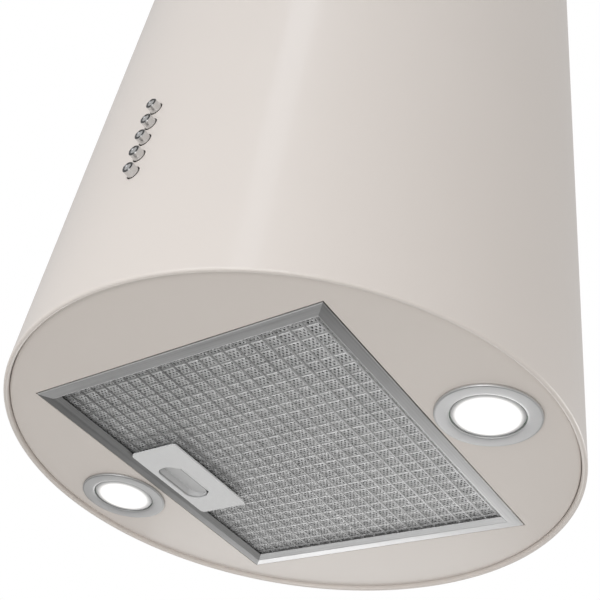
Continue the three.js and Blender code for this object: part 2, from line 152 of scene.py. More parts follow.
# Finishes are built from these two classes: a Value is one output of a material's nodes, with the
# usual arithmetic, and a Finish is a material with its shader's constants set on the shader itself.
class Value:
    """A number or colour that varies over a surface."""

    def __init__(self, finish, socket):
        self.finish = finish
        self.socket = socket

    def math(self, operation, *others):
        return self.finish.node("ShaderNodeMath", {"operation": operation}, self, *others)

    def __add__(self, other):
        return self.math("ADD", other)

    def __mul__(self, other):
        return self.math("MULTIPLY", other)

    def __sub__(self, other):
        return self.math("SUBTRACT", other)

    def __rsub__(self, other):
        return self.finish.node("ShaderNodeMath", {"operation": "SUBTRACT"}, other, self)

    def __gt__(self, other):
        return self.math("GREATER_THAN", other)

    __radd__ = __add__
    __rmul__ = __mul__


class Finish:
    """A procedural material on Object coordinates."""

    def __init__(self, name, **constants):
        self.material = bpy.data.materials.new(name)
        self.material.use_nodes = True
        self.tree = self.material.node_tree
        self.shader = self.tree.nodes["Principled BSDF"]
        for socket, value in constants.items():
            self.shader.inputs[socket.replace("_", " ")].default_value = value

    def node(self, kind, settings, *values, output=0, **named):
        made = self.tree.nodes.new(kind)
        for setting, value in settings.items():
            setattr(made, setting, value)
        for socket, value in [*enumerate(values), *((k.replace("_", " "), v) for k, v in named.items())]:
            if isinstance(value, Value):
                self.tree.links.new(value.socket, made.inputs[socket])
            elif value is not None:
                made.inputs[socket].default_value = value
        return Value(self, made.outputs[output])

    def place(self):
        return self.node("ShaderNodeTexCoord", {}, output="Object")

    def stretched(self, scale):
        return self.node("ShaderNodeVectorMath", {"operation": "MULTIPLY"}, self.place(), scale)

    def axis_values(self):
        """The X, Y and Z coordinates, each a Value of its own."""
        split = self.node("ShaderNodeSeparateXYZ", {}, self.place()).socket.node
        return [Value(self, output) for output in split.outputs]

    def from_centre(self, centre_x):
        """The distance from an upright line through (centre_x, 0), given in millimetres."""
        centre = (centre_x * mm, 0, 0)
        moved = self.node("ShaderNodeVectorMath", {"operation": "SUBTRACT"}, self.place(), centre)
        flat = self.node("ShaderNodeVectorMath", {"operation": "MULTIPLY"}, moved, (1, 1, 0))
        return self.node("ShaderNodeVectorMath", {"operation": "LENGTH"}, flat, output="Value")

    def noise(self, scale, detail, where=None):
        where = where or self.place()
        return self.node("ShaderNodeTexNoise", {}, Vector=where, Scale=scale, Detail=detail)

    def spread(self, value, low, high, to_low, to_high):
        """The value with its stretch from low to high moved onto another stretch."""
        return self.node("ShaderNodeMapRange", {}, value, low, high, to_low, to_high)

    def blend(self, amount, first, second):
        """A colour between two; a Mix node keeps its colour sockets behind those for numbers."""
        mix = self.node("ShaderNodeMix", {"data_type": "RGBA"}, Factor=amount).socket.node
        for socket, value in ((mix.inputs[6], first), (mix.inputs[7], second)):
            if isinstance(value, Value):
                self.tree.links.new(value.socket, socket)
            else:
                socket.default_value = value
        return Value(self, mix.outputs[2])

    def feed(self, **links):
        for socket, value in links.items():
            self.tree.links.new(value.socket, self.shader.inputs[socket.replace("_", " ")])

    def bump(self, height, depth, strength):
        self.feed(Normal=self.node("ShaderNodeBump", {}, Strength=strength, Distance=depth, Height=height))


def grey(level):
    return (level, level, level, 1)


# Ceiling frame. A round plate, slotted upper angles, lower angles that telescope in them and clamping
# bolts, all of galvanised steel sheet with its spangled crystals, cut and folded on a press.
def zinc_finish():
    zinc = Finish("galvanised_sheet", Metallic=1.0)
    crystals = zinc.node("ShaderNodeTexVoronoi", {}, Vector=zinc.place(), Scale=90, output="Color")
    tone = zinc.node("ShaderNodeSeparateColor", {}, crystals)
    cloud = zinc.noise(12, 4)
    colour = zinc.blend(tone * 0.6 + cloud * 0.3, grey(0.46), grey(0.68))
    zinc.feed(Base_Color=colour, Roughness=zinc.spread(tone, 0, 1, 0.32, 0.52))
    zinc.bump(zinc.noise(400, 3), 0.00008, 0.4)
    return zinc.material


def select_only(piece):
    bpy.ops.object.select_all(action="DESELECT")
    piece.select_set(True)
    bpy.context.view_layer.objects.active = piece


def apply_modifier(piece, kind, **settings):
    select_only(piece)
    modifier = piece.modifiers.new(kind.lower(), kind)
    for setting, value in settings.items():
        setattr(modifier, setting, value)
    bpy.ops.object.modifier_apply(modifier=modifier.name)


def smoothed(piece, angle=35):
    select_only(piece)
    bpy.ops.object.shade_smooth_by_angle(angle=math.radians(angle))
    apply_modifier(piece, "WEIGHTED_NORMAL", keep_sharp=True)
    return piece


def soften(piece, edge, angle=35, steps=2):
    """Breaks a piece's edges by a small radius and smooths what is left."""
    apply_modifier(piece, "BEVEL", width=edge, segments=steps, limit_method="ANGLE",
                   angle_limit=math.radians(angle))
    return smoothed(piece, angle)


node_body = {node: body for body, nodes in frame["record"]["behaviour"]["bodies"].items() for node in nodes}


def hand_over(piece, node, material, *more_nodes):
    """The finished piece takes its CAD node's place and body, and the material if one is given."""
    if material:
        piece.data.materials.clear()
        piece.data.materials.append(material)
    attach(piece, node_body[node])
    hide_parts(node, *more_nodes)
    return piece


def dressed_copy(node, edge, material):
    """A CAD node's own shape with its facets welded, its edges broken and a finish of its own."""
    piece = bpy.data.objects.new(node + "_part", frame["nodes"][node].data.copy())
    bpy.context.scene.collection.objects.link(piece)
    select_only(piece)
    bpy.ops.object.mode_set(mode="EDIT")
    bpy.ops.mesh.select_all(action="SELECT")
    bpy.ops.mesh.remove_doubles(threshold=1e-6)
    bpy.ops.mesh.dissolve_limited(angle_limit=math.radians(0.4))
    bpy.ops.object.mode_set(mode="OBJECT")
    soften(piece, edge)
    return hand_over(piece, node, material)


zinc_sheet = zinc_finish()
dressed_copy("ceiling_plate", 0.5 * mm, zinc_sheet)
for number in range(1, 5):
    dressed_copy(f"upper_rail_{number}", 0.4 * mm, zinc_sheet)
    dressed_copy(f"lower_rail_{number}", 0.4 * mm, zinc_sheet)


def bright_steel(name, level):
    steel = Finish(name, Metallic=1.0)
    grain = steel.noise(60, 3, steel.stretched((1, 1, 12)))
    steel.feed(Base_Color=steel.blend(grain, grey(level * 0.8), grey(level)),
               Roughness=steel.spread(grain, 0.3, 0.7, 0.22, 0.4))
    steel.bump(grain, 0.00005, 0.3)
    return steel.material


bolt_steel = bright_steel("bolt_steel", 0.6)
for number in range(1, 5):
    dressed_copy(f"rail_bolt_{number}", 0.3 * mm, bolt_steel)


# Chimney sleeve and casing. Rolled steel tubes, welded at the back, powder coated in a warm light
# grey; the casing's lower edge is folded inwards into a round hem, and it is punched for the buttons.
def paint_finish():
    paint = Finish("powder_coat", IOR=1.5, Coat_Weight=0.35, Coat_Roughness=0.12)
    cloud = paint.noise(5, 3)
    speckle = paint.noise(900, 2)
    tone = cloud * 0.7 + speckle * 0.3
    paint.feed(Base_Color=paint.blend(tone, (0.655, 0.6, 0.555, 1), (0.69, 0.635, 0.59, 1)),
               Roughness=paint.spread(speckle, 0.3, 0.7, 0.36, 0.46))
    peel = paint.noise(420, 2)
    paint.bump(peel, 0.00006, 0.25)
    return paint.material


def place_of(point):
    """A point in millimetres above the casing's edge, as a place in the scene."""
    return Vector((point[0] * mm, point[1] * mm, rim + point[2] * mm))


def close_up(step_to_axis):
    """Closes an outline that was spun: fans its first ring to the axis, or welds the last to the first."""
    if step_to_axis is not None:
        bpy.ops.mesh.select_all(action="DESELECT")
        bpy.ops.mesh.select_non_manifold()
        bpy.ops.mesh.extrude_edges_move(TRANSFORM_OT_translate={"value": (0, 0, step_to_axis)})
        bpy.ops.mesh.merge(type="CENTER")
    bpy.ops.mesh.select_all(action="SELECT")
    bpy.ops.mesh.remove_doubles(threshold=1e-6)
    bpy.ops.mesh.normals_make_consistent(inside=False)
    bpy.ops.object.mode_set(mode="OBJECT")


def turned(name, outline, sides=160, centre=(0, 0)):
    """A piece built ring by ring from (radius, height) points in millimetres above the casing's edge."""
    from_axis = outline[0][0] == 0
    rings = outline[1:] if from_axis else [*outline, outline[0]]
    radius, height = rings[0]
    bpy.ops.object.select_all(action="DESELECT")
    bpy.ops.mesh.primitive_circle_add(vertices=sides, radius=radius * mm, fill_type="NOTHING",
                                      location=place_of((*centre, height)))
    piece = bpy.context.object
    piece.name = name
    bpy.ops.object.transform_apply(location=True, rotation=True, scale=True)
    bpy.ops.object.mode_set(mode="EDIT")
    bpy.ops.mesh.select_all(action="SELECT")
    for next_radius, next_height in rings[1:]:
        step = {"value": (0, 0, (next_height - height) * mm)}
        bpy.ops.mesh.extrude_edges_move(TRANSFORM_OT_translate=step)
        if next_radius == 0:
            bpy.ops.mesh.merge(type="CENTER")
        else:
            share = next_radius / radius
            pivot = place_of((*centre, next_height))
            bpy.ops.transform.resize(value=(share, share, 1), center_override=pivot)
        radius, height = next_radius, next_height
    close_up((outline[0][1] - outline[1][1]) * mm if from_axis else None)
    return piece


def round_corner(centre, radius, start, end, steps=6):
    """Points of an arc in an outline; angles in degrees from the outward direction, upwards positive."""
    points = []
    for step in range(steps + 1):
        angle = math.radians(start + (end - start) * step / steps)
        points.append((centre[0] + radius * math.cos(angle), centre[1] + radius * math.sin(angle)))
    return points


def carve(piece, *tools, operation="DIFFERENCE"):
    """Cuts the tools out of a piece, or with UNION joins them on, and takes the tools away."""
    for tool in tools:
        apply_modifier(piece, "BOOLEAN", object=tool, operation=operation, solver="MANIFOLD")
        bpy.data.objects.remove(tool)
    return piece


def rod(name, radius, start, end, sides=48):
    """A plain round cutter or blank between two points in millimetres above the casing's edge."""
    start, end = place_of(start), place_of(end)
    bpy.ops.object.select_all(action="DESELECT")
    bpy.ops.mesh.primitive_cylinder_add(vertices=sides, radius=radius * mm, depth=(end - start).length,
                                        location=(start + end) / 2,
                                        rotation=(end - start).to_track_quat("Z", "Y").to_euler())
    piece = bpy.context.object
    piece.name = name
    bpy.ops.object.transform_apply(location=True, rotation=True, scale=True)
    return piece


paint = paint_finish()
sleeve_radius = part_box("chimney_sleeve")[1].x / mm
sleeve_low = (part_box("chimney_sleeve")[0].z - rim) / mm
sleeve_high = (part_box("chimney_sleeve")[1].z - rim) / mm
sleeve = turned("chimney_tube", [
    *round_corner((sleeve_radius - 0.5, sleeve_low + 0.5), 0.5, -180, 0, 4),
    *round_corner((sleeve_radius - 0.5, sleeve_high - 0.5), 0.5, 0, 180, 4)], 192)
hand_over(smoothed(sleeve), "chimney_sleeve", paint)

casing_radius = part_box("outer_casing")[1].x / mm
casing_top = (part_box("outer_casing")[1].z - rim) / mm
hem_radius = 1.75
lowest_button, button_pitch, button_hole = 99, 15.8, 5.3
button_heights = [lowest_button + button_pitch * number for number in range(5)]
casing = turned("casing_tube", [
    (casing_radius - 1, 88), (casing_radius - 1, 12), (casing_radius - 2 * hem_radius, 9.5),
    *round_corner((casing_radius - hem_radius, hem_radius), hem_radius, -180, 0, 10),
    (casing_radius, 6), (casing_radius, 88), (casing_radius, 174),
    *round_corner((casing_radius - 0.5, casing_top - 0.5), 0.5, 0, 180, 4),
    (casing_radius - 1, 174)], 240)
carve(casing, *[rod("punch", button_hole, (0, -casing_radius - 6, z), (0, -casing_radius + 6, z))
                for z in button_heights])
hand_over(smoothed(casing, 30), "outer_casing", paint)


# Bottom panel. A pressed disc of the same painted sheet, let in 3 mm above the hem, with the filter's
# cut-out folded up into a channel and a round hole for each lamp.
def block(name, low, high):
    """A plain box blank or cutter between two corners in millimetres above the casing's edge."""
    low, high = place_of(low), place_of(high)
    bpy.ops.object.select_all(action="DESELECT")
    bpy.ops.mesh.primitive_cube_add(size=1, location=(low + high) / 2, scale=high - low)
    piece = bpy.context.object
    piece.name = name
    bpy.ops.object.transform_apply(location=True, rotation=True, scale=True)
    return piece


panel_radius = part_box("bottom_panel")[1].x / mm
panel_low, panel_skin, panel_rim = 3, 1.2, 28
filter_low, filter_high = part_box("filter_frame")
filter_half = (-filter_low.x / mm, filter_high.y / mm)
opening_half = (filter_half[0] + 1, filter_half[1] + 1)
lamp_x = sum(corner.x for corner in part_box("lamp_ring_right")) / 2 / mm
lamp_hole = 29
lug_places = (-80, 80)
panel = turned("bottom_disc", [
    (0, panel_low), (panel_radius - 2, panel_low),
    *round_corner((panel_radius - 1, panel_low + 1), 1, -90, 0, 4),
    (panel_radius, panel_rim), (panel_radius - panel_skin, panel_rim),
    (panel_radius - panel_skin, panel_low + panel_skin), (0, panel_low + panel_skin)], 192)
flange = block("flange", (-opening_half[0] - panel_skin, -opening_half[1] - panel_skin, panel_low + 0.6),
               (opening_half[0] + panel_skin, opening_half[1] + panel_skin, 22))
carve(panel, flange, operation="UNION")
carve(panel,
      block("cut_out", (-opening_half[0], -opening_half[1], -5), (opening_half[0], opening_half[1], 30)),
      *[rod("lamp_hole", lamp_hole, (x, 0, -5), (x, 0, 15), 96) for x in (-lamp_x, lamp_x)],
      *[block("lug_slot", (opening_half[0] - 1, y - 8, 4.2), (opening_half[0] + 3, y + 8, 9.5))
        for y in lug_places],
      block("catch_window", (-opening_half[0] - 3, -7, 5.6), (-opening_half[0] + 1, 7, 8.4)))
soften(panel, 0.45 * mm, 40, 3)
hand_over(panel, "bottom_panel", paint)


# Lamps. Each has a turned and circular-brushed steel trim ring that grips the panel, a frosted lens
# over a small LED board, and a ribbed die-cast aluminium body behind.
ring_edge, lens_edge = 30.5, 21.7


def turned_steel(name, centre_x, level):
    steel = Finish(name, Metallic=1.0)
    radius = steel.from_centre(centre_x)
    turning = steel.noise(1.0, 1, steel.node("ShaderNodeCombineXYZ", {}, radius * 9000))
    smear = steel.noise(40, 2)
    face = steel.blend(turning * 0.7 + smear * 0.3, grey(level * 0.78), grey(level))
    # Painted shade: beyond ring_edge the ring's base colour darkens into a dark line round its outer edge.
    edge = steel.node("ShaderNodeClamp", {}, (radius - ring_edge * mm) * 1400)
    steel.feed(Base_Color=steel.blend(edge, face, grey(level * 0.62)),
               Roughness=steel.spread(turning, 0.3, 0.7, 0.38, 0.5))
    steel.bump(turning, 0.00004, 0.5)
    return steel.material


def lens_finish(name, centre_x, bright_radius):
    lens = Finish(name, Roughness=0.3, Emission_Strength=1.2)
    glow = lens.node("ShaderNodeMapRange", {"interpolation_type": "SMOOTHSTEP"}, lens.from_centre(centre_x),
                     bright_radius * mm, lens_edge * mm, 1, 0)
    grain = lens.noise(700, 2)
    lens.feed(Base_Color=lens.blend(grain, grey(0.44), grey(0.5)),
              Emission_Color=lens.blend(glow, grey(0.0), (1, 0.985, 0.96, 1)))
    lens.bump(grain, 0.00005, 0.3)
    return lens.material


heat_sink = bright_steel("die_cast_aluminium", 0.62)


def board_finish():
    board = Finish("circuit_board", Roughness=0.45)
    tracks = board.node("ShaderNodeTexVoronoi", {"distance": "MANHATTAN"}, Vector=board.place(), Scale=260)
    board.feed(Base_Color=board.blend(tracks > 0.42, (0.02, 0.12, 0.05, 1), (0.05, 0.22, 0.09, 1)))
    board.bump(tracks, 0.0001, 0.4)
    return board.material


circuit_board = board_finish()
# The left ring's lower level (0.84 against 1.0) is painted shade; both rings are the same steel.
for side, centre_x, level, bright in (("left", -lamp_x, 0.84, 14.5), ("right", lamp_x, 1.0, 16.6)):
    ring = turned(f"lamp_trim_{side}", [
        (22.8, 14), (22.8, 1.7), (23.0, 1.5), (24.6, 1.1), (30.4, 1.1),
        *round_corner((31.2, 1.9), 0.8, -90, 0, 6), (32, 2.7), (28.4, 2.7), (28.4, 14)], 128, (centre_x, 0))
    hand_over(smoothed(ring, 28), f"lamp_ring_{side}", turned_steel(f"turned_steel_{side}", centre_x, level))
    lens = turned(f"lamp_glass_{side}", [
        (0, 1.5), (8, 1.53), (15, 1.65), (19.4, 1.85), (21.2, 2.0), (21.8, 2.3), (21.9, 3.0), (22.4, 3.2),
        (22.4, 4), (0, 4)],
        96, (centre_x, 0))
    hand_over(smoothed(lens, 40), f"lamp_lens_{side}", lens_finish(f"frosted_lens_{side}", centre_x, bright))
    dressed_copy(f"lamp_housing_{side}", 0.5 * mm, heat_sink)
    dressed_copy(f"led_board_{side}", 0.2 * mm, circuit_board)


# Grease filter frame. Four mitred lengths of folded, brushed aluminium channel round the mesh, with
# two lugs that hook into the panel on the +X side and a notch for the latch on the -X side.
def brushed_finish():
    metal = Finish("brushed_aluminium", Metallic=1.0)
    across, along, _ = metal.axis_values()
    longer_by = (filter_half[1] - filter_half[0]) * mm
    on_side_rail = across.math("ABSOLUTE") - along.math("ABSOLUTE") + longer_by > 0
    brushed_x = metal.noise(1, 2, metal.stretched((7, 900, 900)))
    brushed_y = metal.noise(1, 2, metal.stretched((900, 7, 900)))
    grain = brushed_y * on_side_rail + brushed_x * (1 - on_side_rail)
    smear = metal.noise(25, 3)
    # Painted reflection: the side rails lighten towards +Y, the +X rail is lighter than the -X rail, and the
    # far (+Y) end rail is lighter than the near one.
    far_rail = (1 - on_side_rail) * (along > 0)
    reach = along * (0.5 / (filter_half[1] * mm)) + 0.5
    painted_side_rail_reflection = reach * 0.2 + (across > 0) * (reach * 0.5 + 0.25)
    painted_rail_reflection = on_side_rail * painted_side_rail_reflection + (1 - on_side_rail) * 0.6 + far_rail * 0.29
    tone = painted_rail_reflection + (grain - 0.5) * 0.3 + (smear - 0.5) * 0.2
    metal.feed(Base_Color=metal.blend(tone, grey(0.25), grey(0.98)),
               Roughness=metal.spread(grain, 0.3, 0.7, 0.42, 0.54))
    metal.bump(grain, 0.00003, 0.5)
    return metal.material


def framed(name, half_x, half_y, outline):
    """A mitred rectangular frame from (inward, height) points in millimetres round its section."""
    inward, height = outline[0]
    bpy.ops.object.select_all(action="DESELECT")
    bpy.ops.mesh.primitive_plane_add(size=1, location=(0, 0, rim + height * mm))
    piece = bpy.context.object
    piece.name = name
    piece.scale = (2 * (half_x - inward) * mm, 2 * (half_y - inward) * mm, 1)
    bpy.ops.object.transform_apply(location=True, rotation=True, scale=True)
    bpy.ops.object.mode_set(mode="EDIT")
    bpy.ops.mesh.select_all(action="SELECT")
    bpy.ops.mesh.delete(type="ONLY_FACE")
    bpy.ops.mesh.select_all(action="SELECT")
    for next_inward, next_height in [*outline[1:], outline[0]]:
        bpy.ops.mesh.extrude_edges_move(TRANSFORM_OT_translate={"value": (0, 0, (next_height - height) * mm)})
        share = ((half_x - next_inward) / (half_x - inward), (half_y - next_inward) / (half_y - inward), 1)
        bpy.ops.transform.resize(value=share, center_override=(0, 0, rim + next_height * mm))
        inward, height = next_inward, next_height
    close_up(None)
    return piece


brushed_aluminium = brushed_finish()
filter_edge = framed("filter_channel", filter_half[0] + 0.2, filter_half[1] + 0.2, [
    (0, 14), (0, 3.2), (0.2, 2.7), (0.6, 2.5), (7.6, 1.9), (8.1, 2.0), (11.3, 5), (10.6, 5.7), (8.3, 3.6),
    (7.8, 3.4), (1, 3.6), (1, 13), (11, 13), (11, 14)])
carve(filter_edge, *[block("lug", (filter_half[0] - 0.6, y - 7, 4.7), (filter_high.x / mm, y + 7, 5.9))
                     for y in lug_places], operation="UNION")
carve(filter_edge, block("latch_notch", (-filter_half[0] - 1, -9.6, 5.6), (-filter_half[0] + 2, 9.6, 9.9)))
soften(filter_edge, 0.2 * mm, 30)
hand_over(filter_edge, "filter_frame", brushed_aluminium)


# Wire grid. Flattened aluminium wires 1.8 mm wide, welded at every crossing on a 9.87 mm pitch, hold
# two crumpled layers of expanded aluminium foil that catch the grease.
def wire_finish(name, dark, light, shine, painted_reflection_drift=0.0):
    metal = Finish(name, Metallic=1.0)
    cloud = metal.noise(30, 3)
    grain = metal.noise(900, 2)
    across, along, _ = metal.axis_values()
    # The drift term is a painted reflection: the wires grow lighter towards +X and +Y.
    tone = cloud * 0.6 + grain * 0.4 + (across + along) * painted_reflection_drift
    metal.feed(Base_Color=metal.blend(tone, grey(dark), grey(light)),
               Roughness=metal.spread(grain, 0.3, 0.7, shine, shine + 0.14))
    metal.bump(grain, 0.00005, 0.3)
    return metal.material


pitch = 9.87
wire_half_width, wire_half_thickness = 0.88, 0.34
first_x, first_y = -96.4 - pitch, -111.9 - pitch
wires_across, wires_along = 23, 26
steps_per_pitch = 4


def wire(name, start, height, pitches):
    """One straight wire along +Y, with a ring of points every quarter pitch."""
    bpy.ops.object.select_all(action="DESELECT")
    bpy.ops.mesh.primitive_circle_add(vertices=10, radius=1, fill_type="NOTHING",
                                      rotation=(math.pi / 2, 0, 0))
    made = bpy.context.object
    made.name = name
    made.scale = (wire_half_width * mm, wire_half_thickness * mm, 1)
    made.location = place_of((*start, height))
    bpy.ops.object.transform_apply(location=True, rotation=True, scale=True)
    bpy.ops.object.mode_set(mode="EDIT")
    bpy.ops.mesh.select_all(action="SELECT")
    for _ in range(pitches * steps_per_pitch):
        step = (0, pitch / steps_per_pitch * mm, 0)
        bpy.ops.mesh.extrude_edges_move(TRANSFORM_OT_translate={"value": step})
    bpy.ops.mesh.select_all(action="SELECT")
    bpy.ops.mesh.normals_make_consistent(inside=False)
    bpy.ops.object.mode_set(mode="OBJECT")
    return made


def joined(pieces):
    bpy.ops.object.select_all(action="DESELECT")
    for piece in pieces:
        piece.select_set(True)
    bpy.context.view_layer.objects.active = pieces[0]
    bpy.ops.object.join()
    return pieces[0]


def capped(piece):
    """Closes a piece's open ends and turns its faces outwards."""
    select_only(piece)
    bpy.ops.object.mode_set(mode="EDIT")
    bpy.ops.mesh.select_all(action="SELECT")
    bpy.ops.mesh.fill_holes(sides=0)
    bpy.ops.mesh.select_all(action="SELECT")
    bpy.ops.mesh.normals_make_consistent(inside=False)
    bpy.ops.object.mode_set(mode="OBJECT")
    return piece


def repeated(piece, count, offset):
    apply_modifier(piece, "ARRAY", count=count, use_relative_offset=False, use_constant_offset=True,
                   constant_offset_displace=[step * mm for step in offset], use_merge_vertices=True,
                   merge_threshold=1e-6)


def trimmed(piece, keep):
    """Takes away the vertices whose place, in millimetres above the casing's edge, isn't kept."""
    select_only(piece)
    bpy.ops.object.mode_set(mode="EDIT")
    bpy.ops.mesh.select_all(action="DESELECT")
    drawn = bmesh.from_edit_mesh(piece.data)
    for vertex in drawn.verts:
        vertex.select = not keep(vertex.co.x / mm, vertex.co.y / mm)
    drawn.select_flush(False)
    bmesh.update_edit_mesh(piece.data)
    bpy.ops.mesh.delete(type="VERT")
    bpy.ops.object.mode_set(mode="OBJECT")


mesh_half = (112.4, 126.6)
pocket_edge, pocket_half = -73.2, 25.4


def clear_of_grip(x, y):
    in_frame = abs(x) < mesh_half[0] and abs(y) < mesh_half[1]
    return in_frame and not (x < pocket_edge and abs(y) < pocket_half)


long_wires = wire("grid_wires", (first_x, first_y - pitch / 2), 6.2, wires_along)
repeated(long_wires, wires_across, (pitch, 0, 0))
trimmed(long_wires, clear_of_grip)
cross_wires = wire("cross_wires", (first_y, first_x - pitch / 2), 6.4, wires_across)
repeated(cross_wires, wires_along, (pitch, 0, 0))
cross_wires.matrix_world = Matrix(((0, 1, 0, 0), (1, 0, 0, 0), (0, 0, 1, 0), (0, 0, 0, 1)))
select_only(cross_wires)
bpy.ops.object.transform_apply(location=True, rotation=True, scale=True)
trimmed(cross_wires, clear_of_grip)
# Painted reflection: the cross wires get a lighter grey than the long wires, though both are the same wire.
cross_wires.data.materials.append(wire_finish("grid_cross_wire", 0.52, 1.0, 0.36, 2.6))
long_wires.data.materials.append(wire_finish("grid_wire", 0.24, 0.86, 0.42, 1.7))
grid = capped(joined([long_wires, cross_wires]))
hand_over(smoothed(grid, 50), "filter_grid", None)

diamond_x, diamond_y = 2.7, 4.6
strand_tilt, strand_width, strand_thickness = 0.06, 0.45, 0.22
fine_crumple, broad_crumple = 0.3, 0.25
crumple_seed = 1
noise.seed_set(crumple_seed)
hole_share = 0.68
foil_left, foil_near, foil_width, foil_depth = -112, -126.4, 225, 253


def expanded_layer(name, height, tilt, shift):
    """A sheet of slit and stretched foil: diamond holes whose strands all lean the same way."""
    cells = []
    left, near = foil_left + shift[0], foil_near + shift[1]
    for row in range(2):
        bpy.ops.object.select_all(action="DESELECT")
        bpy.ops.mesh.primitive_circle_add(vertices=4, radius=1, fill_type="NGON")
        cell = bpy.context.object
        cell.name = f"{name}_cell_{row}"
        cell.scale = (diamond_x / 2 * mm, diamond_y / 2 * mm, 1)
        cell.location = place_of((left + row * diamond_x / 2, near + row * diamond_y / 2, height))
        bpy.ops.object.transform_apply(location=True, rotation=True, scale=True)
        middle = sum((vertex.co for vertex in cell.data.vertices), Vector()) / 4
        bpy.ops.object.mode_set(mode="EDIT")
        bpy.ops.mesh.select_all(action="SELECT")
        bpy.ops.mesh.inset(thickness=strand_width * mm)
        bpy.ops.transform.resize(value=(1, hole_share, 1), center_override=middle)
        bpy.ops.mesh.delete(type="ONLY_FACE")
        for side in (-1, 1):
            bpy.ops.mesh.select_all(action="DESELECT")
            drawn = bmesh.from_edit_mesh(cell.data)
            for vertex in drawn.verts:
                across = (vertex.co.x - middle.x) / mm * side
                vertex.select = 0.1 < across < diamond_x / 2 - 0.1
            drawn.select_flush_mode()
            bpy.ops.transform.translate(value=(0, 0, -side * tilt * mm))
        bpy.ops.object.mode_set(mode="OBJECT")
        cells.append(cell)
    sheet = joined(cells)
    sheet.name = name
    repeated(sheet, int(foil_width / diamond_x), (diamond_x, 0, 0))
    repeated(sheet, int(foil_depth / diamond_y), (0, diamond_y, 0))
    trimmed(sheet, clear_of_grip)
    for vertex in sheet.data.vertices:
        fine, broad = (noise.noise_vector(vertex.co * scale) for scale in (420, 60))
        vertex.co += (fine * fine_crumple + broad * broad_crumple) * mm
    apply_modifier(sheet, "SOLIDIFY", thickness=strand_thickness * mm, offset=0)
    return sheet


hand_over(expanded_layer("foil_layer_front", 7.8, strand_tilt, (0, 0)), "filter_mesh_pack",
          wire_finish("expanded_foil", 0.94, 1.0, 0.55))
# The back layer is painted near-black: painted shade deep in the pack, seen through the front layer's holes.
back_layer = expanded_layer("foil_layer_back", 12.0, -strand_tilt, (0.9, 1.3))
back_layer.data.materials.append(wire_finish("expanded_foil_behind_painted_shade", 0.05, 0.3, 0.48))
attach(back_layer, node_body["filter_mesh_pack"])


# Grip and latch. A moulded light grey plate stands on a low skirt over the mesh; in its rounded
# opening lies the dished thumb slide, whose tongue a small coil spring pushes over the panel's catch.
def grip_finish(name, low, high):
    grip = Finish(name, IOR=1.46)
    grain = grip.noise(1100, 2)
    cloud = grip.noise(20, 3)
    grip.feed(Base_Color=grip.blend(cloud, grey(low), grey(high)),
              Roughness=grip.spread(grain, 0.3, 0.7, 0.42, 0.56))
    grip.bump(grain, 0.00004, 0.35)
    return grip.material


def tilt(angle, pivot):
    """Turns what is selected about the Y axis through a point in millimetres."""
    bpy.ops.transform.rotate(value=math.radians(angle), orient_axis="Y", center_override=place_of(pivot))


def rounded_block(name, low, high, corner, steps=6):
    """A block with its four upright edges rounded."""
    piece = block(name, low, high)
    bpy.ops.object.mode_set(mode="EDIT")
    bpy.ops.mesh.select_mode(type="EDGE")
    bpy.ops.mesh.select_all(action="DESELECT")
    drawn = bmesh.from_edit_mesh(piece.data)
    for edge in drawn.edges:
        rise = edge.verts[0].co - edge.verts[1].co
        edge.select = abs(rise.z) > 0.9 * rise.length
    bmesh.update_edit_mesh(piece.data)
    bpy.ops.mesh.bevel(offset=corner * mm, segments=steps, affect="EDGES")
    bpy.ops.mesh.select_mode(type="VERT")
    bpy.ops.object.mode_set(mode="OBJECT")
    return piece


recess_slope = -15
grip = rounded_block("grip_plate", (-102.6, -44.5, 1.8), (-61, 40.5, 3), 3.5)
carve(grip, rounded_block("pocket_walls", (-101.5, -24.8, 2.4), (-74.2, 24.8, 11), 7), operation="UNION")
skirt = rounded_block("grip_skirt", (-100.9, -41.3, 2.6), (-64.4, 38.4, 5.8), 3)
carve(skirt, rounded_block("skirt_inside", (-99.9, -40.3, 1), (-65.4, 37.4, 9), 2))
carve(grip, skirt, operation="UNION")
finger_slope = rounded_block("finger_slope", (-98, -19.5, -8), (-75.2, 19.5, 3.05), 9, 12)
bpy.ops.object.mode_set(mode="EDIT")
bpy.ops.mesh.select_all(action="SELECT")
tilt(recess_slope, (-79.6, 0, 3.05))
bpy.ops.object.mode_set(mode="OBJECT")
carve(grip, rounded_block("pocket_mouth", (-99, -22.2, -4), (-79.6, 22.2, 8), 8.4, 12),
      rounded_block("pocket_inside", (-100.5, -23.8, 3.05), (-75.2, 23.8, 10.2), 6),
      finger_slope, block("tongue_way", (-104, -9.6, 8), (-99.5, 9.6, 9.9)),
      block("rod_way", (-77, -3.5, 7.9), (-73, 3.5, 9.9)))
soften(grip, 0.3 * mm, 35, 3)
hand_over(grip, "handle_plate", grip_finish("grip_plastic", 0.67, 0.73))

slide = rounded_block("thumb_slide", (-98.6, -21.9, 3.3), (-80.4, 21.9, 7.7), 8, 12)
bpy.ops.object.mode_set(mode="EDIT")
bpy.ops.mesh.select_mode(type="FACE")
bpy.ops.mesh.select_all(action="DESELECT")
drawn = bmesh.from_edit_mesh(slide.data)
for face in drawn.faces:
    face.select = face.normal.z < -0.5
bmesh.update_edit_mesh(slide.data)
bpy.ops.mesh.inset(thickness=0.9 * mm)
tilt(recess_slope, (-81.2, 0, 3.3))
bpy.ops.mesh.select_mode(type="VERT")
bpy.ops.object.mode_set(mode="OBJECT")
carve(slide, block("tongue", (-114.85, -9, 8.3), (-92, 9, 9.5)),
      block("tongue_root", (-96.5, -8.8, 7), (-90, 8.8, 9.4)),
      block("spring_rod", (-93, -3, 8.4), (-72, 3, 9.4)), operation="UNION")
soften(slide, 0.35 * mm, 30, 3)
# The slide's darker grey than the plate is painted shade of the recess it lies in.
hand_over(slide, "latch_slider", grip_finish("slide_plastic_painted_shade", 0.52, 0.57))

